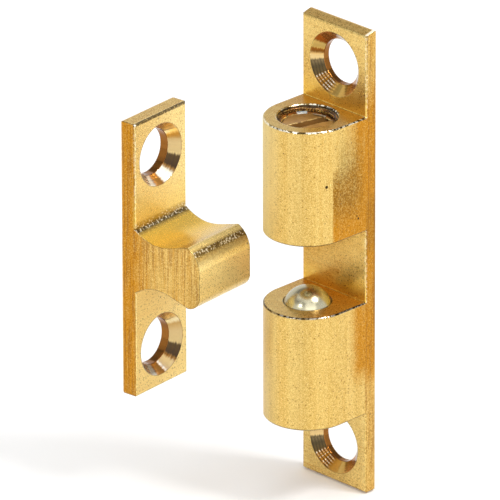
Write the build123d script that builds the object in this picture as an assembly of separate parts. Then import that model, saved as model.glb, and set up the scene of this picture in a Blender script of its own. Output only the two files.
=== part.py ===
from build123d import *
import math
import os

# A double ball catch: a one-piece brass body holding two sprung balls that face each other
# across a gap, and a separate brass strike whose nose is gripped between the balls.
# Millimetres. Z runs along the catch, its back lies on the plane y = 0, its front faces -Y.
# The origin is the middle of the catch's back face.

# Catch body
body_width = 9.0
body_length = 50.0
plate_thickness = 1.65
end_slope = 0.45
back_edge_round = 0.5
front_edge_break = 0.12
housing_height = 12.4
housing_gap = 7.8
bore_offset = 3.8
housing_end_break = 0.12

# Fixing holes of the catch
catch_hole_from_end = 4.25
catch_hole_diameter = 4.8
catch_sink_diameter = 6.8
catch_sink_depth = 1.0

# Ball and its seat
ball_diameter = 5.2
ball_bore_clearance = 0.05
ball_mouth_diameter = 4.92

# Adjusting screw and its thread, drawn here as plain cylinders of the thread's outer size
thread_bore_diameter = 6.0
thread_bore_depth = 5.9
thread_mouth_break = 0.2
screw_clearance = 0.05
screw_length = 3.4
screw_recess = 0.8
screw_edge_break = 0.25
slot_width = 1.2
slot_depth = 1.1
slot_angle = 77.0

# Spring
wire_diameter = 0.5
coil_radius = 1.85
coil_count = 4.5
spring_end_gap = 0.03

# Strike
strike_width = 8.05
strike_length = 29.85
strike_thickness = 2.05
strike_back_round = 0.5
strike_hole_from_end = 4.5
strike_hole_diameter = 4.9
strike_sink_diameter = 6.6
strike_sink_depth = 1.15
nose_reach = 8.3
nose_root_half = 3.43
nose_flank_half = 2.8
nose_flank_at = 1.1
nose_neck_half = 2.43
nose_neck_at = 2.6
nose_ramp_half = 2.74
nose_ramp_at = 4.8
nose_crest_half = 3.32
nose_crest_at = 6.8
nose_shoulder_half = 2.62
nose_shoulder_at = 7.85
nose_face_half = 1.54
nose_face_lift = 0.45
nose_crest_round = 0.45
strike_across = -13.31
strike_ahead = -13.03
strike_turn = 6.0

# Sizes that follow from the ones above
half_length = body_length / 2
half_gap = housing_gap / 2
half_width = body_width / 2
bore_y = -(plate_thickness + bore_offset)
ball_radius = ball_diameter / 2
seat_radius = ball_radius + ball_bore_clearance
mouth_radius = ball_mouth_diameter / 2
ball_height = math.sqrt(seat_radius**2 - mouth_radius**2)
ball_z = half_gap + ball_height
housing_top = half_gap + housing_height
screw_radius = thread_bore_diameter / 2 - screw_clearance
screw_outer_z = housing_top - screw_recess
screw_inner_z = screw_outer_z - screw_length
wire_radius = wire_diameter / 2
ring_lift = math.sqrt((ball_radius + wire_radius + spring_end_gap) ** 2 - coil_radius**2)
coil_low_z = ball_z + ring_lift
coil_high_z = screw_inner_z - spring_end_gap - wire_radius


def cylinder_between(radius, x, y, low, high):
    return Pos(x, y, (low + high) / 2) * Cylinder(radius, high - low)


def box_between(low, high):
    size = [high[i] - low[i] for i in range(3)]
    middle = [(high[i] + low[i]) / 2 for i in range(3)]
    return Pos(*middle) * Box(*size)


def sunk_hole(hole_diameter, sink_diameter, sink_depth, thickness):
    # Runs along +Y from the front face at y = 0, with its wide end in front.
    straight = Rot(90, 0, 0) * Cylinder(hole_diameter / 2, thickness * 4)
    cone = Cone(sink_diameter / 2, hole_diameter / 2, sink_depth)
    sink = Pos(0, sink_depth / 2, 0) * (Rot(-90, 0, 0) * cone)
    lead = Pos(0, -0.5, 0) * (Rot(90, 0, 0) * Cylinder(sink_diameter / 2, 1.0))
    return straight + sink + lead


def edges_at(solid, axis, value, tolerance=1e-4):
    found = []
    for edge in solid.edges():
        box = edge.bounding_box()
        low = (box.min.X, box.min.Y, box.min.Z)["XYZ".index(axis)]
        high = (box.max.X, box.max.Y, box.max.Z)["XYZ".index(axis)]
        if abs(low - value) < tolerance and abs(high - value) < tolerance:
            found.append(edge)
    return found


def housing():
    # The upper housing as a solid D, its round side in front.
    block = box_between((-half_width, bore_y, half_gap), (half_width, -plate_thickness / 2, housing_top))
    front = cylinder_between(half_width, 0, bore_y, half_gap, housing_top)
    solid = block + front
    ends = edges_at(solid, "Z", housing_top) + edges_at(solid, "Z", half_gap)
    return chamfer(ends, housing_end_break)


def housing_bores():
    # Spherical seat, ball bore and thread bore of the upper housing, cut from its outer end.
    seat = Pos(0, bore_y, ball_z) * Sphere(seat_radius)
    ball_bore = cylinder_between(seat_radius, 0, bore_y, ball_z, housing_top)
    thread_low = housing_top - thread_bore_depth
    thread_bore = cylinder_between(thread_bore_diameter / 2, 0, bore_y, thread_low, housing_top + 1)
    mouth_cone = Cone(
        thread_bore_diameter / 2, thread_bore_diameter / 2 + thread_mouth_break, thread_mouth_break
    )
    mouth = Pos(0, bore_y, housing_top - thread_mouth_break / 2) * mouth_cone
    return seat + ball_bore + thread_bore + mouth


def make_catch_body():
    # The top end is cut on a slope, so it is a little higher at the back.
    outline = [
        (-plate_thickness, -half_length),
        (0, -half_length),
        (0, half_length + end_slope),
        (-plate_thickness, half_length),
    ]
    side = Plane.YZ * make_face(Polyline(*outline, close=True))
    plate = extrude(side, amount=half_width, both=True)
    plate = fillet(edges_at(plate, "Y", 0), back_edge_round)
    plate = chamfer(edges_at(plate, "Y", -plate_thickness), front_edge_break)
    upper = housing()
    body = plate + upper + mirror(upper, Plane.XY)
    hole_z = half_length - catch_hole_from_end
    for z in (hole_z, -hole_z):
        cutter = sunk_hole(catch_hole_diameter, catch_sink_diameter, catch_sink_depth, plate_thickness)
        body = body - Pos(0, -plate_thickness, z) * cutter
    bores = housing_bores()
    return body - bores - mirror(bores, Plane.XY)


def make_upper_screw():
    blank = cylinder_between(screw_radius, 0, 0, screw_inner_z, screw_outer_z)
    blank = chamfer(edges_at(blank, "Z", screw_outer_z), screw_edge_break)
    blank = chamfer(edges_at(blank, "Z", screw_inner_z), screw_edge_break)
    slot = box_between(
        (-body_width, -slot_width / 2, screw_outer_z - slot_depth),
        (body_width, slot_width / 2, screw_outer_z + 1),
    )
    return Pos(0, bore_y, 0) * (blank - Rot(0, 0, slot_angle) * slot)


def make_upper_spring():
    height = coil_high_z - coil_low_z
    path = Helix(pitch=height / coil_count, height=height, radius=coil_radius)
    section = Plane(origin=path @ 0, z_dir=path % 0) * Circle(wire_radius)
    coil = sweep(section, path=path, is_frenet=True)
    return Pos(0, bore_y, coil_low_z) * coil


def make_upper_ball():
    return Pos(0, bore_y, ball_z) * Sphere(ball_radius)


def nose_profile():
    # Half profile above the middle line, then its mirror image below, but for the tip's flat
    # face, which sits a little above the middle. X is the reach.
    root = (-strike_thickness / 2, nose_root_half)
    start = (0, nose_root_half)
    flank = (nose_flank_at, nose_flank_half)
    neck = (nose_neck_at, nose_neck_half)
    ramp = (nose_ramp_at, nose_ramp_half)
    crest = (nose_crest_at, nose_crest_half)
    lift = nose_face_lift
    shoulder_up = (nose_shoulder_at, nose_shoulder_half + lift / 2)
    shoulder_down = (nose_shoulder_at, -nose_shoulder_half + lift / 2)
    face_up = (nose_reach, nose_face_half + lift)
    face_down = (nose_reach, -nose_face_half + lift)

    def below(point):
        return (point[0], -point[1])

    edges = [
        Line(root, start),
        Spline(start, flank, neck, ramp, crest),
        ThreePointArc(crest, shoulder_up, face_up),
        Line(face_up, face_down),
        ThreePointArc(face_down, shoulder_down, below(crest)),
        Spline(below(crest), below(ramp), below(neck), below(flank), below(start)),
        Line(below(start), below(root)),
        Line(below(root), root),
    ]
    return make_face(edges)


def make_strike():
    # Built with its plate's front face on y = 0 and its nose towards -Y, then turned so that
    # the nose points along +X and a little towards the catch's plane, as the two lie side by side.
    half = strike_width / 2
    low = (-half, 0, -strike_length / 2)
    high = (half, strike_thickness, strike_length / 2)
    plate = box_between(low, high)
    plate = fillet(edges_at(plate, "Y", strike_thickness), strike_back_round)
    plate = chamfer(edges_at(plate, "Y", 0), front_edge_break)
    plane = Plane(origin=(-half, 0, 0), x_dir=(0, -1, 0), z_dir=(1, 0, 0))
    nose = extrude(plane * nose_profile(), amount=strike_width)
    crests = []
    for edge in nose.edges().filter_by(Axis.X):
        middle = edge.center()
        if abs(middle.Y + nose_crest_at) < 0.01:
            crests.append(edge)
    nose = fillet(crests, nose_crest_round)
    strike = plate + nose
    hole_z = strike_length / 2 - strike_hole_from_end
    for z in (hole_z, -hole_z):
        cutter = sunk_hole(strike_hole_diameter, strike_sink_diameter, strike_sink_depth, strike_thickness)
        strike = strike - Pos(0, 0, z) * cutter
    return Pos(strike_across, strike_ahead, 0) * (Rot(0, 0, 90 + strike_turn) * strike)


os.makedirs("parts", exist_ok=True)

uppers = {"ball": make_upper_ball(), "spring": make_upper_spring(), "screw": make_upper_screw()}
nodes = {"catch_body": make_catch_body(), "strike": make_strike()}
for piece, shape in uppers.items():
    nodes["upper_" + piece] = shape
    # The lower housing's parts are the upper ones turned over about the X axis, so threads
    # and coils keep their hand.
    nodes["lower_" + piece] = Pos(0, bore_y, 0) * (Rot(180, 0, 0) * (Pos(0, -bore_y, 0) * shape))

for name, shape in nodes.items():
    solids = shape.solids()
    assert len(solids) == 1, (name, len(solids))
    solid = solids[0]
    solid.label = name
    export_step(solid, "parts/" + name + ".step")
    print(name, "volume", round(solid.volume, 2), "valid", solid.is_valid)
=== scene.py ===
import bpy
import math
from mathutils import Matrix, Vector


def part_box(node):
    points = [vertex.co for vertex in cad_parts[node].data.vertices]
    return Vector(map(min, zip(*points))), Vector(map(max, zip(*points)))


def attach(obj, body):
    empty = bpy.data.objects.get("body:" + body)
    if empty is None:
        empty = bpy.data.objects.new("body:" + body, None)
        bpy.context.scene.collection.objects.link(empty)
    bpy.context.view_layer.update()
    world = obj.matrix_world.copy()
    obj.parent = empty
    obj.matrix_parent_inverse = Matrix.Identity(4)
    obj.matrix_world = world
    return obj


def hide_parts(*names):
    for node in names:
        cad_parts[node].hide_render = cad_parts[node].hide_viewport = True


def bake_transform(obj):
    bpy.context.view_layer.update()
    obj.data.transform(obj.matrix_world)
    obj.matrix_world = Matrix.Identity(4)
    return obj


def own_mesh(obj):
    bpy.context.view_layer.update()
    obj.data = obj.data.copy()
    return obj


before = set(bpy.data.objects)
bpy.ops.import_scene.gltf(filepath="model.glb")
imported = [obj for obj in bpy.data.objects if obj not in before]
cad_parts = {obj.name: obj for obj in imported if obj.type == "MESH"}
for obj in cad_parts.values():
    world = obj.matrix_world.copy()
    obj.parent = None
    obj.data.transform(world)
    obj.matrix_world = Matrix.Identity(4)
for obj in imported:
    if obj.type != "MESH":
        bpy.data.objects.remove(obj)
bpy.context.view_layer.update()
scene = bpy.context.scene
mm = 0.001
print("frame loaded:", len(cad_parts), "nodes")


# Small helpers

def deselectAll():
    if bpy.context.object and bpy.context.object.mode != "OBJECT":
        bpy.ops.object.mode_set(mode="OBJECT")
    bpy.ops.object.select_all(action="DESELECT")


def pick(obj):
    deselectAll()
    obj.select_set(True)
    bpy.context.view_layer.objects.active = obj


def applyPlace(obj):
    pick(obj)
    bpy.ops.object.transform_apply(location=True, rotation=True, scale=True)


def addModifier(obj, kind, **settings):
    pick(obj)
    modifier = obj.modifiers.new(kind.lower(), kind)
    for name, value in settings.items():
        setattr(modifier, name, value)
    bpy.ops.object.modifier_apply(modifier=modifier.name)


def startEdit(obj):
    pick(obj)
    bpy.ops.object.mode_set(mode="EDIT")
    bpy.context.tool_settings.mesh_select_mode = (True, False, False)
    bpy.ops.mesh.select_all(action="SELECT")


def leaveEdit():
    bpy.ops.object.mode_set(mode="OBJECT")


def nodeMiddle(name):
    low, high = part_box(name)
    return (Vector(low) + Vector(high)) / 2


# Shader maths

class Num:
    # a number output of a node; + - * / and the rest add Math nodes
    def __init__(self, book, socket):
        self.book = book
        self.socket = socket

    def math(self, operation, *others, clamp=False):
        values = {i + 1: other for i, other in enumerate(others)}
        values[0] = self
        return self.book.add("ShaderNodeMath", dict(operation=operation, use_clamp=clamp), values)

    def __add__(self, other): return self.math("ADD", other)
    def __radd__(self, other): return self.math("ADD", other)
    def __sub__(self, other): return self.math("SUBTRACT", other)
    def __mul__(self, other): return self.math("MULTIPLY", other)
    def __rmul__(self, other): return self.math("MULTIPLY", other)
    def __truediv__(self, other): return self.math("DIVIDE", other)

    def __rsub__(self, other):
        return self.book.add("ShaderNodeMath", dict(operation="SUBTRACT"), {0: other, 1: self})

    def size(self): return self.math("ABSOLUTE")
    def clip(self): return self.math("ADD", 0.0, clamp=True)
    def over(self, edge, soft): return ((self - edge) / soft + 0.5).clip()
    def under(self, edge, soft): return ((edge - self) / soft + 0.5).clip()
    def near(self, place, half, soft): return (self - place).size().under(half, soft)


class Book:
    # the node tree of one material
    def __init__(self, tree):
        self.tree = tree

    def add(self, kind, settings=None, values=None, out=0):
        node = self.tree.nodes.new(kind)
        for name, value in (settings or {}).items():
            if name == "stops":
                ramp = node.color_ramp
                while len(ramp.elements) < len(value):
                    ramp.elements.new(0.5)
                for element, (place, colour) in zip(ramp.elements, value):
                    element.position = place
                    element.color = (*colour, 1)
            else:
                setattr(node, name, value)
        for name, value in (values or {}).items():
            socket = node.inputs[name]
            if isinstance(value, Num):
                self.tree.links.new(value.socket, socket)
            elif isinstance(value, (tuple, list)) and socket.type == "RGBA" and len(value) == 3:
                socket.default_value = (*value, 1)
            else:
                socket.default_value = value
        return Num(self, node.outputs[out]) if node.outputs else None

    def place(self):
        return self.add("ShaderNodeTexCoord", out="Object")

    def mapped(self, vector, move=(0, 0, 0), turn=(0, 0, 0), size=(1, 1, 1)):
        return self.add("ShaderNodeMapping", dict(vector_type="POINT"),
                        {"Vector": vector, "Location": move, "Rotation": turn, "Scale": size})

    def parts(self, vector):
        first = self.add("ShaderNodeSeparateXYZ", {}, {0: vector})
        return [Num(self, output) for output in first.socket.node.outputs]

    def noise(self, vector, size, detail, rough):
        return self.add("ShaderNodeTexNoise", dict(noise_dimensions="3D"),
                        {"Vector": vector, "Scale": size, "Detail": detail, "Roughness": rough})

    def noiseAlong(self, value, size, detail):
        return self.add("ShaderNodeTexNoise", dict(noise_dimensions="1D"),
                        {"W": value, "Scale": size, "Detail": detail})

    def cells(self, vector, size):
        # distance to the nearest cell's middle, and that cell's own chance from 0 to 1
        near = self.add("ShaderNodeTexVoronoi", dict(feature="F1"), {"Vector": vector, "Scale": size})
        colour = Num(self, near.socket.node.outputs["Color"])
        return near, self.parts(colour)[0]

    def gap(self, vector, point):
        return self.add("ShaderNodeVectorMath", dict(operation="DISTANCE"), {0: vector, 1: point},
                        out="Value")

    def blend(self, factor, first, second):
        return self.add("ShaderNodeMix", dict(data_type="RGBA", blend_type="MIX"),
                        {0: factor, 6: first, 7: second}, out=2)

    def layered(self, skin, *layers):
        # each layer is a mask and the colour that it lays over the ones before
        for mask, colour in layers:
            skin = self.blend(mask, skin, colour)
        return skin

    def bump(self, height, distance, normal=None):
        values = {"Height": height, "Distance": distance, "Strength": 1.0}
        if normal is not None:
            values["Normal"] = normal
        return self.add("ShaderNodeBump", {}, values)

    def close(self, **sockets):
        names = {name.replace("_", " "): value for name, value in sockets.items()}
        shader = self.add("ShaderNodeBsdfPrincipled", {}, names)
        self.add("ShaderNodeOutputMaterial", {}, {"Surface": shader})


def newMaterial(name):
    material = bpy.data.materials.new(name)
    material.use_nodes = True
    material.node_tree.nodes.clear()
    return material, Book(material.node_tree)


def wear(piece, material):
    piece.data.materials.clear()
    piece.data.materials.append(material)


# Brass finishes

brass = dict(
    pale=(0.70, 0.465, 0.128),       # tumbled face
    shadedDeep=(0.55, 0.230, 0.008),       # painted shade on faces turned from the light, the sawn sides among them
    dull=(0.40, 0.235, 0.055),       # darker grain in the tumbled skin
    shadedDull=(0.27, 0.095, 0.010),   # darker grain in the painted shade
    bright=(0.93, 0.71, 0.27),       # worn points of the grain, and painted light on faces made brighter
    pit=(0.12, 0.06, 0.015),
    speck=(0.24, 0.11, 0.02),
    wall=(0.28, 0.11, 0.022),        # painted shade inside the screw holes
    olive=(0.29, 0.175, 0.028),      # worn edges, and painted shade on the upper housing's flat and in the strike's crease and crest
    glint=(1.0, 0.95, 0.80),         # painted highlights: bright beads along the rims and edges
    shadeAndDents=(0.035, 0.018, 0.008),      # painted shade, near black, beside the painted highlights and in hollows; also the colour of dents
    litPale=(0.74, 0.61, 0.265),        # painted light: palest side of the housings, towards the camera's left
    glow=(0.96, 0.63, 0.085),        # painted reflection: deep orange of the brass nearby, in the corners
    roughness=0.32,
    grainHeight=0.000014,            # metres, as all heights here
    streakHeight=0.000006,
    turnedHeight=0.000045,
    edgeHeight=0.000030,
    edgeRound=0.00016,
    pitShare=0.08,                   # share of the 0.9 mm cells that hold a pit
)

# how often each pattern of the skin repeats in a metre
grainSizes = dict(finest=12500, fine=7000, middle=2600, broad=420, coarse=5200, beads=3300,
                  pits=1100, specks=3600)

# how much of the skin each coat covers where its mask is full
coats = dict(bands=0.25, darkGrain=0.62, brightGrain=0.85, specks=0.62, pits=0.9,
             edgeDull=0.75, edgeBright=0.8, oliveShade=0.6, oliveBright=0.5,
             deepOliveDark=0.55, deepOliveSparkle=0.95, rimShade=0.9, rimGlint=0.95)


def scratches(book, vector, fine, coarse):
    # straight fine lines: fine and coarse are the pattern's sizes along x, y and z
    first = book.noise(book.mapped(vector, size=fine), 1.0, 4, 0.7)
    second = book.noise(book.mapped(vector, size=coarse), 1.0, 3, 0.6)
    return first * 0.6 + second * 0.4


def roundedEdges(book):
    # a normal that is rounded over the edges, and a mask of where it turns
    rounded = book.add("ShaderNodeBevel", dict(samples=6), {"Radius": brass["edgeRound"]})
    flat = book.add("ShaderNodeNewGeometry", out="True Normal")
    same = book.add("ShaderNodeVectorMath", dict(operation="DOT_PRODUCT"), {0: rounded, 1: flat},
                    out="Value")
    return rounded, same.under(0.965, 0.05)


def tumbledBrass(book, vector, finish, chatter):
    # finish holds the masks of this piece: see the two pieces below
    shadedDeep, litAndWorn, streaks, share, hole, wall, edge, olive, rims = [finish[name] for name in (
        "shadedDeep", "litAndWorn", "streaks", "share", "hole", "wall", "edge", "olive", "rims")]
    finest = book.noise(vector, grainSizes["finest"], 1, 0.5)
    fine = book.noise(vector, grainSizes["fine"], 2, 0.6)
    middle = book.noise(vector, grainSizes["middle"], 3, 0.65)
    broad = book.noise(vector, grainSizes["broad"], 3, 0.6)
    coarse = book.noise(vector, grainSizes["coarse"], 1, 0.5)
    beads = book.noise(vector, grainSizes["beads"], 2, 0.6)
    bands = book.noise(book.mapped(vector, size=(900, 900, 6)), 1.0, 2, 0.5)
    bare = 1 - hole
    grain = finest * 0.3 + fine * 0.4 + middle * 0.3
    distance, chance = book.cells(vector, grainSizes["pits"])
    pits = distance.under(0.085, 0.06) * chance.under(brass["pitShare"], 0.01) * bare
    distance, chance = book.cells(vector, grainSizes["specks"])
    specks = distance.under(0.28, 0.2) * chance.under(0.15 + (broad - 0.5) * 0.7, 0.02) * bare
    # painted shade on faces turned from the light, uneven with the broad grain and the streaks
    shadedHere = (shadedDeep * (1.1 + (broad - 0.5) * 0.9 + (streaks - 0.5) * 1.6)).clip()
    darkGrain = ((0.5 - finest) * 5.0 + (0.5 - fine) * 3.4 + (0.48 - broad)).clip()
    brightGrain = ((finest - 0.53) * 5.0 + (fine - 0.51) * 4.0).clip()
    # painted shade and painted highlights: dark and bright specks where the olive is deepest, in the
    # strike's crease and on its crest
    deepOliveShade = (olive - 0.62).over(0, 0.08) * (0.57 - coarse).over(0, 0.06)
    deepOliveGlints = (olive - 0.66).over(0, 0.04) * (coarse - 0.61).over(0, 0.03)
    skin = book.layered(
        brass["pale"],
        ((litAndWorn + (bands - 0.5).over(0.06, 0.12) * coats["bands"]).clip(), brass["bright"]),
        (((streaks - 0.48) * 5.0).clip() * share, brass["shadedDeep"]),
        (shadedHere, brass["shadedDeep"]),
        (finish["lined"], brass["shadedDull"]),
        (olive, brass["olive"]),
        (darkGrain * (coats["darkGrain"] + olive * 0.3),
         book.blend(shadedHere, brass["dull"], brass["shadedDull"])),
        (brightGrain * (coats["brightGrain"] - shadedHere * 0.55), brass["bright"]),
        (specks * coats["specks"], brass["speck"]),
        (pits * coats["pits"], brass["pit"]),
        (edge * bare * (0.56 - middle).over(0.02, 0.12) * coats["edgeDull"], brass["olive"]),
        (edge * bare * (middle - 0.5).over(0.02, 0.08) * coats["edgeBright"], brass["bright"]),
        (olive * (0.47 - coarse).over(0, 0.05) * coats["oliveShade"], brass["shadeAndDents"]),
        (olive * (coarse - 0.59).over(0, 0.05) * coats["oliveBright"], brass["bright"]),
        (deepOliveShade * coats["deepOliveDark"], brass["shadeAndDents"]),
        (deepOliveGlints * coats["deepOliveSparkle"], brass["glint"]),
        (rims * (0.50 - beads).over(0, 0.03) * coats["rimShade"], brass["shadeAndDents"]),
        (rims * (beads - 0.51).over(0, 0.02) * coats["rimGlint"], brass["glint"]),
        # painted reflection, painted light, painted highlight and painted shade, laid on from the piece's
        # masks
        (finish["glow"], brass["glow"]),
        (finish["litPale"], brass["litPale"]),
        (finish["corner"], brass["glint"]),
        (finish["dark"], brass["shadeAndDents"]),
        (hole, finish["sink"]),
        (wall, brass["wall"]))
    rough = brass["roughness"] + (grain - 0.5) * 0.6 + (streaks - 0.5) * 0.25 + finish["soft"]
    rough = rough * bare + (0.15 + (grain - 0.5) * 0.10) * hole
    rough = rough - (edge + olive + rims).clip() * bare * 0.18
    tumbled = book.bump(grain * (1 - hole * 0.85) - pits * 3, brass["grainHeight"], finish["rounded"])
    lined = book.bump(streaks * share, brass["streakHeight"], tumbled)
    turned = book.bump(chatter * hole, brass["turnedHeight"], lined)
    dented = book.bump((middle + fine * 0.4) * (edge + olive).clip() * bare, brass["edgeHeight"], turned)
    book.close(Base_Color=skin, Metallic=finish["metal"] - (hole - wall) * 0.3, Roughness=rough,
               Normal=dented)


def sunkHole(book, across, along, marks):
    # masks of a screw hole's ring, wall and rim, the chatter of its cutter, and its colours: painted
    # reflections, highlights and shade in the countersink
    spread = (across * across + along * along).math("SQRT")
    angle = along.math("ARCTAN2", across)
    drift = book.noiseAlong(angle, 1.7, 1.0)
    jitter = book.noiseAlong(spread, 9000.0, 1.0)
    breaks = book.noiseAlong(angle, 7.0, 2.0)
    share = angle / (2 * math.pi) + 0.5 + (jitter - 0.5) * 0.018
    patches = book.add("ShaderNodeValToRGB", dict(stops=marks["patches"]), {0: share})
    arcs = ((spread + drift * 0.00020) * (2 * math.pi / marks["arcPitch"])).math("SINE")
    grooved = share.over(marks["arcFrom"], 0.01) * share.under(marks["arcTo"], 0.02)
    dark = share.over(marks["darkFrom"], 0.01) * share.under(marks["darkTo"], 0.01)
    sink = book.layered(
        patches,
        (arcs.under(-0.35, 0.5) * (grooved * 0.75 + dark * 0.45), brass["shadeAndDents"]),
        (arcs.over(0.45, 0.3) * (breaks - 0.5).over(0, 0.05) * grooved, brass["glint"]))
    chatter = (angle * marks["beats"] + drift * 5).math("SINE") + arcs * 0.03
    ring = spread.under(marks["holeRadius"], 0.00003)
    wall = spread.under(marks["wallRadius"], 0.00002)
    rim = spread.near(marks["holeRadius"], 0.00004, 0.00004)
    return ring, wall, rim, chatter, sink


# metres, and the painted reflections round the countersinks, as colours at shares of a turn
bodyMarks = dict(
    holeAway=0.02075, holeRadius=0.00341, wallRadius=0.00243, beats=3,
    boreY=-0.00545, viewRight=(0.705, 0.709),        # the photo's right, along x and y
    highRim=0.0163, midRim=-0.0039, housingMiddle=0.0101, housingHalf=0.0062,
    viewMiddle=-0.0007, shadeMiddle=0.0045,
    dings=[((0.0042245, -0.0070004, 0.0102462), 0.00016), ((0.0045, -0.0027542, 0.0056574), 0.00012),
           ((0.0045, -0.00295, 0.00600), 0.00008)],
    patches=[(0.0, (0.76, 0.54, 0.23)), (0.014, (0.76, 0.54, 0.23)), (0.024, (0.16, 0.11, 0.045)),
             (0.060, (0.055, 0.038, 0.010)), (0.100, (0.09, 0.055, 0.012)),
             (0.112, (0.58, 0.26, 0.03)), (0.195, (0.52, 0.24, 0.035)), (0.21, (0.52, 0.28, 0.05)),
             (0.26, (0.64, 0.42, 0.11)), (0.31, (0.54, 0.30, 0.05)), (0.36, (0.62, 0.27, 0.04)),
             (0.41, (0.48, 0.19, 0.02)), (0.45, (0.16, 0.05, 0.005)), (0.50, (0.60, 0.40, 0.13)),
             (0.75, (0.30, 0.16, 0.03)), (0.80, (0.50, 0.20, 0.05)), (0.900, (0.42, 0.14, 0.025)),
             (0.914, (1.0, 0.86, 0.32)), (0.950, (1.0, 0.84, 0.28)), (0.958, (0.46, 0.19, 0.03)),
             (0.974, (0.50, 0.24, 0.05)), (0.986, (0.76, 0.54, 0.23)), (1.0, (0.76, 0.54, 0.23))],
    arcPitch=0.00022, arcFrom=0.105, arcTo=0.205, darkFrom=0.022, darkTo=0.105,
)

# each pair is where a mask has its edge and how softly it fades, in metres
bodyEdges = dict(
    plateFront=(-0.00168, 0.00002), plateSide=(0.00446, 0.00003), housingSide=(0.00442, 0.00003),
    offBack=(-0.00030, 0.0002),
    upperFlatLow=(0.0035, 0.001), upperFlatHigh=(0.0108, 0.003), upperFlatBack=(-0.0036, 0.0022),
    lowerFlatLow=(-0.0118, 0.0025), lowerFlatHigh=(-0.002, 0.002), lowerFlatBack=(-0.0034, 0.0014),
    flatShadeLow=(0.0068, 0.003), flatShadeHigh=(0.0135, 0.004), flatShadeBack=(-0.0024, 0.0016),
    flatShadeFront=(-0.0055, 0.0012), flatShadeFrontHigh=(0.0114, 0.0015),
    plateSideLow=(-0.0122, 0.0025), plateSideHigh=(0.0185, 0.004),
    inward=(-0.0050, 0.0050), upperEnd=(0.0100, 0.001),
    rimBand=(0.00022, 0.00004), rimSide=(-0.0026, 0.0020), lowRimsHigh=(0.0100, 0.0001),
    plateRimSide=(0.0040, 0.0002), plateRimLow=(-0.0042, 0.0004), plateRimFront=(-0.0012, 0.0002),
    mouthInner=(0.00280, 0.00005), mouthOuter=(0.00310, 0.00003), mouthEnd=(0.0158, 0.0001),
    viewLeft=(-0.0034, 0.0014), viewMiddleBand=(0.0008, 0.0012), litPaleLow=(0, 0.004),
    backEdge=(-0.00050, 0.0003), backEdgeSide=(0.0036, 0.0003),
    backEdgeLow=(-0.0100, 0.005), backEdgeHigh=(0.0150, 0.003),
    aboveUpperLow=(0.0160, 0.0002), aboveUpperHigh=(0.0182, 0.0022),
    aboveLowerLow=(-0.0042, 0.0002), aboveLowerHigh=(-0.0024, 0.0020),
    cornerSide=(0.00416, 0.00008), cornerLow=(0.0240, 0.001), shadeBand=(0.0028, 0.0015),
)
bodyAmounts = dict(
    glow=0.6, corner=0.8, litPale=0.4, litPaleSoft=0.2, lined=0.5, dings=0.97, mouth=0.92,
    flatShadeDark=0.14, flatShadeOlive=0.40, backEdge=0.3, holeRim=0.3, lowRims=0.6, plateRims=0.6,
    inward=0.6, plateEnd=0.38, leftDim=0.10, middleDim=0.09, plateDim=0.20, endDim=0.08,
)


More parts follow.
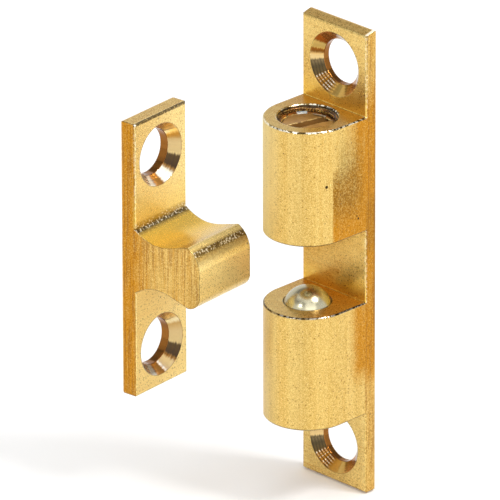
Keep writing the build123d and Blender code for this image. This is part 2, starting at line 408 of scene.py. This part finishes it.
def bodyBrass():
    material, book = newMaterial("bodyBrass")
    at, amount = bodyEdges, bodyAmounts
    place = book.place()
    x, y, z = book.parts(place)
    lean = book.parts(book.add("ShaderNodeTexCoord", out="Normal"))[2].size()
    level = lean.over(0.95, 0.04)
    upright = 1 - level
    plate = y.over(*at["plateFront"])
    housing = 1 - plate
    side = x.size().over(*at["plateSide"]) * upright
    side = (side + x.over(*at["housingSide"]) * housing * upright).clip()
    rest = 1 - side
    away = z - z.math("SIGN") * bodyMarks["holeAway"]
    hole, wall, rim, chatter, sink = sunkHole(book, x, away, bodyMarks)
    front = y.under(*at["offBack"])
    wall = wall * hole * plate * rest
    hole = (hole * plate * rest * front + wall).clip()
    milled = scratches(book, place, (300, 300, 9000), (60, 60, 2600))
    drawn = scratches(book, place, (7000, 7000, 90), (1500, 1500, 25))
    planed = scratches(book, place, (200, 8000, 8000), (40, 2200, 2200))
    milledHere = plate * rest
    streaks = (milled * milledHere + drawn * (1 - milledHere)) * upright + planed * level
    share = 0.5 * milledHere + 0.34 * housing + 0.6 * (plate * side)
    lines = book.noise(book.mapped(place, size=(10, 4200, 130)), 1.0, 2, 0.55)
    # painted shade: the housings' flat sides are painted deeper near the plate, the upper one most of all
    upperFlat = housing * z.over(*at["upperFlatLow"]) * (
        z.under(*at["upperFlatHigh"]) * 0.95 + y.over(*at["upperFlatBack"]) * 0.9).clip()
    lowerFlat = (housing * z.under(*at["lowerFlatHigh"]) * z.over(*at["lowerFlatLow"])
                 * y.over(*at["lowerFlatBack"]) * 0.85)
    # painted shade: a dark olive patch on the upper housing's flat side
    flatShade = (side * housing * z.over(*at["flatShadeLow"]) * z.under(*at["flatShadeHigh"])
              * y.under(*at["flatShadeBack"])
              * (y.over(*at["flatShadeFront"]) + z.under(*at["flatShadeFrontHigh"])).clip())
    plateSide = plate * (0.3 + 0.70 * z.over(*at["plateSideLow"]) * z.under(*at["plateSideHigh"]))
    # painted shade on the housings' end faces near the plate
    inward = y.over(*at["inward"]) * level * housing
    # rims of the housings and edges of the plate, worn, with painted highlights and painted shade beaded
    # along them
    rounded, edge = roundedEdges(book)
    broken = lean.over(0.45, 0.1) * lean.under(0.9, 0.1)
    litAndWorn = (edge + broken).clip()
    highRims = z.near(bodyMarks["highRim"], *at["rimBand"])
    midRims = z.near(bodyMarks["midRim"], *at["rimBand"])
    rims = litAndWorn * (highRims + midRims).clip() * housing * (0.35 + x.over(*at["rimSide"]) * 0.65)
    fromMiddle = (z.size() - bodyMarks["housingMiddle"]).size()
    lowRims = (fromMiddle.near(bodyMarks["housingHalf"], *at["rimBand"]) * housing
               * z.under(*at["lowRimsHigh"]))
    plateRims = (edge * plate * x.over(*at["plateRimSide"]) * z.over(*at["plateRimLow"])
                 * y.under(*at["plateRimFront"]) * amount["plateRims"])
    backEdge = (y.over(*at["backEdge"]) * x.over(*at["backEdgeSide"]) * z.over(*at["backEdgeLow"])
                * z.under(*at["backEdgeHigh"]))
    ahead = y - bodyMarks["boreY"]
    spread = (x * x + ahead * ahead).math("SQRT")
    mouth = (spread.over(*at["mouthInner"]) * spread.under(*at["mouthOuter"])
             * z.size().over(*at["mouthEnd"]))
    dings = 0
    for middle, radius in bodyMarks["dings"]:
        dings = book.gap(place, middle).under(radius, 0.00003) + dings
    # painted light: the housings are painted paler towards the camera's left, the plate just above each
    # housing carries a painted orange reflection, and the plate's top corner a painted highlight
    rightward = x * bodyMarks["viewRight"][0] + ahead * bodyMarks["viewRight"][1]
    leftmost = rightward.under(*at["viewLeft"])
    midmost = rightward.near(bodyMarks["viewMiddle"], *at["viewMiddleBand"])
    litPale = leftmost * housing * upright * (0.35 + z.over(*at["litPaleLow"]) * 0.65)
    above = (z.over(*at["aboveUpperLow"]) * z.under(*at["aboveUpperHigh"])
             + z.over(*at["aboveLowerLow"]) * z.under(*at["aboveLowerHigh"]))
    corner = level * x.over(*at["cornerSide"]) * z.over(*at["cornerLow"]) * front
    rounds = housing * upright * rest
    # painted shade on the housings' rounds towards the left and middle, the plate's sides and the upper
    # housing's end
    dimmed = (leftmost * rounds * amount["leftDim"]
              + midmost * rounds * amount["middleDim"]
              + plate * side * z.near(bodyMarks["shadeMiddle"], *at["shadeBand"]) * amount["plateDim"]
              + level * housing * z.over(*at["upperEnd"]) * amount["endDim"])
    finish = dict(
        # painted reflection of each housing on the plate just above it
        glow=above * plate * rest * upright * front * amount["glow"],
        corner=corner * amount["corner"],
        litPale=litPale * amount["litPale"],
        rims=(rims + plateRims).clip(),
        lined=(0.44 - lines).over(0, 0.05) * plate * side * amount["lined"],
        # painted shade in the bore's mouth, on the upper housing's flat, round the housings, along the
        # back edge and the lower rims; also the dents and a darker ring round each countersink
        dark=(dings.clip() * amount["dings"] + mouth * amount["mouth"] + flatShade * amount["flatShadeDark"]
              + dimmed + backEdge * amount["backEdge"] + rim * plate * front * amount["holeRim"]
              + litAndWorn * lowRims * amount["lowRims"]).clip(),
        # painted shade: the sides, the flats, the housings' inner end faces and the plate's end faces
        shadedDeep=(side * (upperFlat + lowerFlat + plateSide).clip() + inward * amount["inward"]
              + level * plate * amount["plateEnd"]),
        # painted light: the paler side of the housings and the plate's front faces, brighter
        litAndWorn=(litPale + plate * rest * 0.4).clip(),
        olive=flatShade * amount["flatShadeOlive"],
        soft=litPale * amount["litPaleSoft"],
        metal=1 - (litPale * 0.8 + corner).clip(),
        streaks=streaks, share=share, hole=hole, wall=wall, sink=sink, rounded=rounded, edge=edge)
    tumbledBrass(book, place, finish, chatter)
    return material


# in the strike's own frame: x points out of its nose, and z up as on the body
strikeMarks = dict(
    root=(-0.01331, -0.01303), turn=math.radians(6), holeAway=0.010425, holeRadius=0.00331,
    wallRadius=0.00248, beats=3, bead=(0, -0.00398, 0.01486),
    # painted reflections round the strike's countersinks, as colours at shares of a turn
    patches=[(0.0, (0.40, 0.20, 0.06)), (0.07, (0.55, 0.30, 0.09)), (0.095, (1.0, 0.90, 0.66)),
             (0.120, (0.80, 0.50, 0.18)), (0.150, (1.0, 0.66, 0.30)), (0.180, (1.0, 0.95, 0.80)),
             (0.205, (1.0, 0.95, 0.80)), (0.222, (0.70, 0.32, 0.07)), (0.270, (0.62, 0.28, 0.05)),
             (0.286, (1.0, 0.96, 0.82)), (0.345, (1.0, 0.94, 0.74)), (0.362, (0.34, 0.17, 0.04)),
             (0.380, (0.04, 0.018, 0.003)), (0.440, (0.055, 0.03, 0.005)), (0.455, (0.60, 0.44, 0.19)),
             (0.52, (0.60, 0.43, 0.19)), (0.57, (0.52, 0.32, 0.10)), (0.595, (1.0, 0.86, 0.50)),
             (0.65, (0.95, 0.62, 0.20)), (0.73, (0.66, 0.32, 0.09)), (0.80, (0.36, 0.16, 0.04)),
             (1.0, (0.40, 0.20, 0.06))],
    arcPitch=0.00026, arcFrom=0.06, arcTo=0.17, darkFrom=0.376, darkTo=0.45,
)
strikeEdges = dict(
    plateFront=(0.00004, 0.00002), plateSide=(0.00399, 0.00003), offBack=(-0.00160, 0.0002),
    frontBand=(0.0003, 0.0002), tipFrom=(0.0067, 0.0006), tipLow=(0.0000, 0.0016),
    creaseBand=(0.00035, 0.0003), creaseLow=(0.0029, 0.0003), creaseHigh=(0.0041, 0.0004),
    neckFrom=(0.0005, 0.0005), neckTo=(0.0058, 0.0012), neckLow=(0.0015, 0.0006),
    neckSide=(-0.0012, 0.005), aboveLow=(0.0036, 0.0004), aboveHigh=(0.0062, 0.003),
    cornerBand=(0.0004, 0.0002), cornerLow=(0.0015, 0.002), cornerSide=(-0.0037, 0.0002),
    browLow=(0.01466, 0.00010), browFrom=(-0.00022, 0.00008), beadRadius=(0.00016, 0.00004),
    crestFrom=(0.00735, 0.00025), crestTo=(0.00780, 0.00030), crestLow=(0.0018, 0.0010),
    sawnTo=(0.0008, 0.003), topEnd=(0.01485, 0.00002), softLow=(0.0015, 0.001),
)
strikeAmounts = dict(
    corner=0.8, holeRim=0.7, sideEdge=0.4, tipLow=0.12, crestDark=0.16, crestOlive=0.42,
    crestLine=0.45, brow=0.85, aboveDark=0.07, aboveGlow=0.45, neckGlow=0.72, neckDeep=0.45,
    topEnd=0.15, lined=0.6, soft=-0.08,
)


def strikeBrass():
    material, book = newMaterial("strikeBrass")
    at, amount = strikeEdges, strikeAmounts
    turn = strikeMarks["turn"]
    rootX, rootY = strikeMarks["root"]
    moveX = -(rootX * math.cos(turn) + rootY * math.sin(turn))
    moveY = -(rootY * math.cos(turn) - rootX * math.sin(turn))
    place = book.mapped(book.place(), move=(moveX, moveY, 0), turn=(0, 0, -turn))
    x, y, z = book.parts(place)
    side = y.size().over(*at["plateSide"])
    rest = 1 - side
    plateFront = x.under(*at["plateFront"])
    away = z - z.math("SIGN") * strikeMarks["holeAway"]
    hole, wall, rim, chatter, sink = sunkHole(book, y, away, strikeMarks)
    front = x.over(*at["offBack"])
    wall = wall * hole * plateFront * rest
    hole = (hole * plateFront * rest * front + wall).clip()
    sawn = scratches(book, place, (8000, 8000, 160), (2200, 2200, 40))
    drawn = scratches(book, place, (4000, 150, 4000), (900, 30, 900))
    lines = book.noise(book.mapped(place, size=(4600, 10, 150)), 1.0, 2, 0.6)
    speckled = (book.noise(place, 5200, 2, 0.6) - 0.41).over(0, 0.11)
    rounded, edge = roundedEdges(book)
    tip = x.over(*at["tipFrom"])
    # painted light: the strike's front bands and the tip of its nose, brighter and less metallic
    litFront = rest * (1 - hole) * (x.size().under(*at["frontBand"]) + tip).clip()
    # painted shade in the crease where the nose meets the plate
    crease = x.size().under(*at["creaseBand"]) * z.over(*at["creaseLow"]) * z.under(*at["creaseHigh"])
    neck = x.over(*at["neckFrom"]) * x.under(*at["neckTo"]) * z.over(*at["neckLow"]) * rest
    above = x.size().under(*at["frontBand"]) * z.over(*at["aboveLow"]) * z.under(*at["aboveHigh"])
    # painted highlights and painted shade beaded along the plate's left front edge
    corner = (edge * x.size().under(*at["cornerBand"]) * z.over(*at["cornerLow"])
              * y.under(*at["cornerSide"]))
    # painted shade: a dark speckled band along the top front edge; the bead is a painted highlight
    brow = z.over(*at["browLow"]) * x.over(*at["browFrom"])
    bead = book.gap(place, strikeMarks["bead"]).under(*at["beadRadius"])
    # painted shade: a dark olive band over the nose's crest
    crest = x.over(*at["crestFrom"]) * z.over(*at["crestLow"])
    crestLine = crest * x.under(*at["crestTo"])
    finish = dict(
        # painted reflection: orange on the neck and just above the nose
        glow=(neck * amount["neckGlow"] + above * amount["aboveGlow"]).clip(),
        corner=bead,
        litPale=0.0,
        rims=corner * amount["corner"],
        lined=(0.455 - lines).over(0, 0.05) * side * amount["lined"],
        # painted shade along the side edges, under the tip, over the crest, along the top band and above
        # the nose; also a darker ring round each countersink
        dark=(rim * plateFront * front * amount["holeRim"] + edge * side * amount["sideEdge"]
              + tip * z.under(*at["tipLow"]) * amount["tipLow"] + crest * amount["crestDark"]
              + brow * speckled * (1 - bead) * amount["brow"] + above * amount["aboveDark"]).clip(),
        # painted shade: the sides, most near the plate, the top end face and one side of the neck
        shadedDeep=(side * (0.22 + 0.76 * x.under(*at["sawnTo"])) + z.over(*at["topEnd"]) * amount["topEnd"]
              + neck * y.under(*at["neckSide"]) * amount["neckDeep"]),
        litAndWorn=litFront,
        olive=(crease + crestLine * amount["crestLine"] + crest * amount["crestOlive"]).clip() * rest,
        soft=rest * z.over(*at["softLow"]) * amount["soft"],
        metal=1 - (litFront * 0.5 + neck * 0.4).clip(),
        streaks=sawn * side + drawn * rest, share=1.1 * side + 0.16 * rest,
        hole=hole, wall=wall, sink=sink, rounded=rounded, edge=edge)
    tumbledBrass(book, place, finish, chatter)
    return material


# Smaller finishes

# the screw and the bore's lining are painted darker than the tumbled brass, in bands: painted shade
# inside the bore
turnedBrass = dict(
    screw=dict(face=(0.50, 0.27, 0.075), groove=(0.20, 0.095, 0.03), roughness=0.36, metallic=0.5,
               height=0.000012, crest=0.0, root=0.01, banding=1000, contrast=2.4, bandShade=0.7,
               rimLine=0.9, spark=0.0),
    lining=dict(face=(0.62, 0.23, 0.04), groove=(0.060, 0.020, 0.008), roughness=0.16, metallic=0.7,
                height=0.000016, crest=0.00266, root=0.00278, banding=6500, contrast=8.0,
                bandShade=0.95, rimLine=0.0, spark=1.0),
)

# edges and fades again: of the painted highlight and painted shade on the screw's rim, and of the bore's
# painted blue-white highlight
turnedEdges = dict(
    sectorFrom=(1.10, 0.12), sectorTo=(2.12, 0.08), face=(0.0154, 0.00005),     # radians, metres
    shadeInner=(0.00212, 0.00008), shadeOuter=(0.00240, 0.00003), rimInner=(0.00240, 0.00004),
    sparkHalf=(0.19, 0.05), sparkLow=(0.01534, 0.00004), sparkHigh=(0.01560, 0.00004),
)
turnedMarks = dict(ringPitch=0.00019, sparkTurn=2.56, sparkColour=(0.80, 0.92, 1.0))


def screwBrass(name, middle, tint):
    material, book = newMaterial(name)
    at = turnedEdges
    place = book.mapped(book.place(), move=(-middle[0], -middle[1], 0))
    x, y, z = book.parts(place)
    spread = (x * x + y * y).math("SQRT")
    turn = y.math("ARCTAN2", x)
    rings = book.noise(place, 5200, 3, 0.6)
    turned = (spread * (2 * math.pi / turnedMarks["ringPitch"])).math("SINE") * 0.5 + 0.5
    shadeBands = book.noise(book.mapped(place, size=(1000, 1000, tint["banding"])), 1.0, 3, 0.6)
    rounded, edge = roundedEdges(book)
    sector = (turn.over(*at["sectorFrom"]) * turn.under(*at["sectorTo"]) * tint["rimLine"]
              * z.size().over(*at["face"]))
    spark = (turn.near(turnedMarks["sparkTurn"], *at["sparkHalf"]) * z.size().over(*at["sparkLow"])
             * z.size().under(*at["sparkHigh"]))
    # painted shade in bands and at the thread's root, painted highlights on the crests and edges, and on
    # the rim a painted highlight with painted shade and a painted blue-white spark
    skin = book.layered(
        tint["face"],
        (((shadeBands - 0.42) * tint["contrast"]).clip() * tint["bandShade"], tint["groove"]),
        (spread.over(tint["root"], 0.0001) * 0.55, brass["shadeAndDents"]),
        (spread.under(tint["crest"], 0.00008) * (rings - 0.46).over(0, 0.05), brass["bright"]),
        (edge * (rings - 0.5).over(0, 0.05) * 0.8, brass["bright"]),
        (edge * (0.45 - rings).over(0, 0.05) * 0.8, brass["shadeAndDents"]),
        (sector * spread.over(*at["shadeInner"]) * spread.under(*at["shadeOuter"]) * 0.85, brass["shadeAndDents"]),
        (sector * spread.over(*at["rimInner"]) * (rings - 0.36).over(0, 0.05), brass["glint"]),
        (spark * tint["spark"], turnedMarks["sparkColour"]))
    rough = tint["roughness"] + (rings - 0.5) * 0.3
    normal = book.bump(rings * 0.7 + turned * 0.4, tint["height"], rounded)
    book.close(Base_Color=skin, Metallic=tint["metallic"], Roughness=rough, Normal=normal)
    return material


# haze and grain are noises: how often they repeat in a metre, their detail and roughness
steel = dict(
    # the ball's warm olive tint is a painted reflection of the brass around it
    ballSteel=dict(face=(0.54, 0.50, 0.345), hazed=(0.42, 0.40, 0.35), haze=(1500, 3, 0.6),
                   hazeFrom=0.45, hazeShare=0.3, roughness=0.25, uneven=0.2,
                   grain=(9000, 2, 0.5), grainHeight=0.0000005),
    wireSteel=dict(face=(0.40, 0.40, 0.41), hazed=(0.22, 0.21, 0.20), haze=(2600, 3, 0.6),
                   hazeFrom=0.40, hazeShare=0.5, roughness=0.33, uneven=0.3,
                   grain=(2600, 3, 0.6), grainHeight=0.000003),
)


def polishedSteel(name):
    material, book = newMaterial(name)
    tint = steel[name]
    place = book.place()
    haze = book.noise(place, *tint["haze"])
    grain = book.noise(place, *tint["grain"])
    hazy = ((haze - tint["hazeFrom"]) * 2).clip() * tint["hazeShare"]
    book.close(Base_Color=book.blend(hazy, tint["face"], tint["hazed"]), Metallic=1.0,
               Roughness=tint["roughness"] + (haze - 0.5) * tint["uneven"],
               Normal=book.bump(grain, tint["grainHeight"]))
    return material


# Threads and adjusting screws

boreX, boreY, _ = nodeMiddle("upper_ball")
screwLow, screwHigh = (corner[2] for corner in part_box("upper_screw"))

thread = dict(
    pitch=0.75 * mm,
    boreOuter=3.0 * mm, boreInner=2.60 * mm,      # root and crest of the thread in the bore
    screwOuter=2.91 * mm, screwInner=2.51 * mm,   # crest and root of the screw's own thread
    rootFlat=0.14, crestFlat=0.26,                # shares of the pitch, in the bore
    screwShift=0.10,                              # what the screw's crest gives to its root
    startZ=8.25 * mm, turns=12, steps=64,
    liningLow=10.42 * mm, liningHigh=16.10 * mm, liningWall=3.03 * mm, overrun=0.3 * mm,
    coneInner=2.45 * mm, coneOuter=3.15 * mm, coneDepth=0.7 * mm, coneDown=0.25 * mm,
    roundSides=96, weld=1e-7, hair=1e-8,          # vertices closer than weld become one
)


def threadedRod(name, outer, inner, rootFlat, crestFlat, low, high):
    # one pitch of the thread's outline, drawn point by point, then wound up the axis
    pitch = thread["pitch"]
    flank = (1 - rootFlat - crestFlat) / 2
    bpy.ops.mesh.primitive_plane_add(size=mm, location=(boreX, boreY, thread["startZ"]))
    rod = bpy.context.object
    rod.name = name
    startEdit(rod)
    bpy.ops.mesh.merge(type="CENTER")
    bpy.ops.transform.translate(value=(inner, 0, 0))
    moves = [(0, rootFlat), (outer - inner, flank), (0, crestFlat), (inner - outer, flank)]
    for outward, rise in moves:
        bpy.ops.mesh.extrude_region_move(TRANSFORM_OT_translate={"value": (outward, 0, rise * pitch)})
    leaveEdit()
    addModifier(rod, "SCREW", axis="Z", angle=2 * math.pi, screw_offset=pitch, iterations=thread["turns"],
                steps=thread["steps"], render_steps=thread["steps"], use_merge_vertices=True,
                merge_threshold=thread["weld"], use_smooth_shade=False)
    startEdit(rod)
    bpy.ops.mesh.remove_doubles(threshold=thread["weld"])
    for end, way in ((high, 1), (low, -1)):
        bpy.ops.mesh.bisect(plane_co=(0, 0, end), plane_no=(0, 0, way), use_fill=True,
                            clear_outer=True, threshold=thread["hair"])
        bpy.ops.mesh.select_all(action="SELECT")
    bpy.ops.mesh.normals_make_consistent(inside=False)
    leaveEdit()
    return rod


def cut(piece, tool, way):
    addModifier(piece, "BOOLEAN", operation=way, solver="EXACT", object=tool)
    bpy.data.objects.remove(tool, do_unlink=True)


def roundBlank(name, radius, low, high, edge):
    bpy.ops.mesh.primitive_cylinder_add(vertices=thread["roundSides"], radius=radius, depth=high - low,
                                        location=(boreX, boreY, (low + high) / 2))
    blank = bpy.context.object
    blank.name = name
    if edge:
        addModifier(blank, "BEVEL", width=edge, segments=2, limit_method="ANGLE",
                    angle_limit=math.radians(60))
    return blank


def finishPiece(piece, material, body, angle=35):
    applyPlace(piece)
    bpy.ops.object.shade_smooth_by_angle(angle=math.radians(angle))
    wear(piece, material)
    if body:
        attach(piece, body)


def turnedCopy(piece, name):
    # the same piece for the lower housing, turned over about the X axis so its hand is kept
    copy = piece.copy()
    copy.data = piece.data.copy()
    copy.name = name
    bpy.context.collection.objects.link(copy)
    pick(copy)
    bpy.ops.transform.rotate(value=math.pi, orient_axis="X", center_override=(boreX, boreY, 0))
    return copy


screwShape = dict(slotWidth=1.2 * mm, slotDepth=1.1 * mm, slotLength=9 * mm,
                  slotAngle=math.radians(77), edge=0.34 * mm, overrun=0.2 * mm, skin=0.01 * mm)


def makeScrew():
    screw = threadedRod(
        "upperScrew", thread["screwOuter"], thread["screwInner"],
        thread["rootFlat"] + thread["screwShift"], thread["crestFlat"] - thread["screwShift"],
        screwLow - screwShape["overrun"], screwHigh + screwShape["overrun"])
    blank = roundBlank("screwBlank", thread["screwOuter"] + screwShape["skin"], screwLow, screwHigh,
                       screwShape["edge"])
    cut(screw, blank, "INTERSECT")
    bpy.ops.mesh.primitive_cube_add(size=1, location=(boreX, boreY, screwHigh))
    slot = bpy.context.object
    slot.scale = (screwShape["slotLength"], screwShape["slotWidth"], 2 * screwShape["slotDepth"])
    slot.rotation_euler = (0, 0, screwShape["slotAngle"])
    applyPlace(slot)
    cut(screw, slot, "DIFFERENCE")
    return screw


def makeLining():
    lining = roundBlank("upperThread", thread["liningWall"], thread["liningLow"], thread["liningHigh"], 0)
    tap = threadedRod(
        "tap", thread["boreOuter"], thread["boreInner"], thread["rootFlat"], thread["crestFlat"],
        thread["liningLow"] - thread["overrun"], thread["liningHigh"] + thread["overrun"])
    cut(lining, tap, "DIFFERENCE")
    bpy.ops.mesh.primitive_cone_add(
        vertices=thread["roundSides"], radius1=thread["coneInner"], radius2=thread["coneOuter"],
        depth=thread["coneDepth"], location=(boreX, boreY, thread["liningHigh"] - thread["coneDown"]))
    cut(lining, bpy.context.object, "DIFFERENCE")
    return lining


threadLook = screwBrass("threadBrass", (boreX, boreY), turnedBrass["lining"])
screwLook = screwBrass("screwBrass", (boreX, boreY), turnedBrass["screw"])
screwUpper = makeScrew()
screwLower = turnedCopy(screwUpper, "lowerScrew")
liningUpper = makeLining()
liningLower = turnedCopy(liningUpper, "lowerThread")
for piece, body in ((screwUpper, "upper_screw"), (screwLower, "lower_screw")):
    finishPiece(piece, screwLook, body)
    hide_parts(body)
for piece in (liningUpper, liningLower):
    finishPiece(piece, threadLook, "catch")
print("threads cut:", len(screwUpper.data.polygons), "faces a screw,",
      len(liningUpper.data.polygons), "a bore")


# Springs

spring = dict(
    wire=0.25 * mm, ring=1.85 * mm,               # radii of the wire and of the coils' middle line
    endTurns=0.75, midTurns=3.0, softTurns=1.9,   # softTurns: those of the middle wound with the ball's coils
    endRise=0.40 * mm, travel=1.6 * mm,
    stepsPerTurn=40, wireSides=14, weld=1e-6, smooth=50,
)
springLow, springHigh = (corner[2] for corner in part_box("upper_spring"))


def coilRun(startTurn, turns, fromZ, rise):
    bpy.ops.mesh.primitive_circle_add(vertices=spring["wireSides"], radius=spring["wire"],
                                      fill_type="NOTHING", location=(0, 0, 0),
                                      rotation=(math.pi / 2, 0, 0))
    run = bpy.context.object
    applyPlace(run)
    startEdit(run)
    bpy.ops.transform.translate(value=(spring["ring"], 0, 0))
    leaveEdit()
    run.rotation_euler = (0, 0, startTurn * 2 * math.pi)
    applyPlace(run)
    steps = round(turns * spring["stepsPerTurn"])
    addModifier(run, "SCREW", axis="Z", angle=turns * 2 * math.pi, screw_offset=rise, iterations=1,
                steps=steps, render_steps=steps, use_smooth_shade=True)
    run.location = (boreX, boreY, fromZ)
    applyPlace(run)
    return run


def makeCoils(name, runs):
    deselectAll()
    for run in runs:
        run.select_set(True)
    bpy.context.view_layer.objects.active = runs[0]
    bpy.ops.object.join()
    coil = bpy.context.object
    coil.name = name
    startEdit(coil)
    bpy.ops.mesh.remove_doubles(threshold=spring["weld"])
    bpy.ops.mesh.select_all(action="DESELECT")
    bpy.ops.mesh.select_non_manifold(extend=False)
    bpy.ops.mesh.fill()
    bpy.ops.mesh.select_all(action="SELECT")
    bpy.ops.mesh.normals_make_consistent(inside=False)
    leaveEdit()
    return coil


def makeSpring():
    # the coils by the ball and the ones by the screw are wound as two pieces
    low = springLow + spring["wire"]
    high = springHigh - spring["wire"]
    ends, mids, rise = spring["endTurns"], spring["midTurns"], spring["endRise"]
    middleRise = high - low - 2 * rise
    soft = spring["softTurns"]
    split = low + rise + middleRise * soft / mids
    ballCoils = makeCoils("upperBallCoils", [
        coilRun(0, ends, low, rise), coilRun(ends, soft, low + rise, split - low - rise)])
    screwCoils = makeCoils("upperScrewCoils", [
        coilRun(ends + soft, mids - soft, split, high - rise - split),
        coilRun(ends + mids, ends, high - rise, rise)])
    return ballCoils, screwCoils, split


wireLook = polishedSteel("wireSteel")
ballCoils, screwCoils, splitAt = makeSpring()
lowerCoils = [turnedCopy(ballCoils, "lowerBallCoils"), turnedCopy(screwCoils, "lowerScrewCoils")]
softLength = splitAt - springLow
coilSets = (("upper", 1, ballCoils, screwCoils), ("lower", -1, *lowerCoils))
for side, sign, nearBall, nearScrew in coilSets:
    finishPiece(nearBall, wireLook, "catch", spring["smooth"])
    finishPiece(nearScrew, wireLook, None, spring["smooth"])
    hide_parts(side + "_spring")
    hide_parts(side + "_spring")
    side + "_ball_press"
    sign * splitAt
    (softLength - spring["travel"]) / softLength
    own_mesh(nearBall)
    side + "_spring"
    sign * splitAt
    sign * springHigh
    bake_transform(nearScrew)
print("springs wound")


# Finishes on the solid pieces

def nodePiece(name):
    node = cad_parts[name]
    return bpy.data.objects[node] if isinstance(node, str) else node


looks = {"catch_body": bodyBrass(), "strike": strikeBrass()}
ballLook = polishedSteel("ballSteel")
for side in ("upper", "lower"):
    looks.update({side + "_ball": ballLook, side + "_screw": screwLook, side + "_spring": wireLook})
for name, material in looks.items():
    wear(nodePiece(name), material)
print("finishes set")


# Floor, light and camera

studio = dict(
    floorColour=(0.95, 0.95, 0.95), floorZ=-0.0252, floorSize=6,
    bandLight=0.95, midLight=0.28, bandTop=0.50, midFrom=0.64,     # the world's light by height
    lamps={                              # place, size across, power
        "topSoftbox": ((0, 0, 1.5), 2.0, 12.4),
        "frontFill": ((1.3, -0.7, 0.75), 1.5, 8.65),
        "rightGlint": ((0.607, 0.241, 1.0), 0.26, 5.2),
        "leftGlint": ((0.055, -0.98, 0.69), 0.16, 1.6),
    },
)

bpy.ops.mesh.primitive_plane_add(size=studio["floorSize"], location=(0, 0, studio["floorZ"]))
floor = bpy.context.object
floor.name = "floor"
floorMaterial, floorBook = newMaterial("paleFloor")
floorBook.close(Base_Color=studio["floorColour"], Roughness=0.9, Specular_IOR_Level=0.0)
wear(floor, floorMaterial)

world = bpy.data.worlds.new("studio")
scene.world = world
world.use_nodes = True
world.node_tree.nodes.clear()
worldBook = Book(world.node_tree)
height = worldBook.parts(worldBook.add("ShaderNodeTexCoord", out="Generated"))[2]
band = (studio["midFrom"] - height) / (studio["midFrom"] - studio["bandTop"])
glow = worldBook.add("ShaderNodeBackground", {}, {
    "Color": (1, 1, 1),
    "Strength": band.clip() * (studio["bandLight"] - studio["midLight"]) + studio["midLight"]})
worldBook.add("ShaderNodeOutputWorld", {}, {"Surface": glow})

for name, (place, size, power) in studio["lamps"].items():
    bpy.ops.object.light_add(type="AREA", location=place)
    lamp = bpy.context.object
    lamp.name = name
    lamp.data.shape = "SQUARE"
    lamp.data.size = size
    lamp.data.energy = power
    lamp.rotation_euler = Vector(place).to_track_quat("Z", "Y").to_euler()

view = dict(azimuth=math.radians(45.18), elevation=math.radians(23.405), distance=1.00685,
            aim=(0, -0.005, 0), across=-0.0061065, up=0.0014191, roll=math.radians(0.138),
            lens=720.0, sensor=36, nearest=0.01)
back = Vector((math.sin(view["azimuth"]) * math.cos(view["elevation"]),
               -math.cos(view["azimuth"]) * math.cos(view["elevation"]), math.sin(view["elevation"])))
right = Vector((math.cos(view["azimuth"]), math.sin(view["azimuth"]), 0))
upward = back.cross(right)
target = Vector(view["aim"]) + right * view["across"] + upward * view["up"]
bpy.ops.object.camera_add(location=target + back * view["distance"])
camera = bpy.context.object
tiltedRight = right * math.cos(view["roll"]) - upward * math.sin(view["roll"])
tiltedUp = right * math.sin(view["roll"]) + upward * math.cos(view["roll"])
camera.rotation_euler = Matrix((tiltedRight, tiltedUp, back)).transposed().to_euler()
camera.data.lens = view["lens"]
camera.data.sensor_width = view["sensor"]
camera.data.clip_start = view["nearest"]
scene.camera = camera
scene.view_settings.view_transform = "Standard"
deselectAll()
print("studio ready")
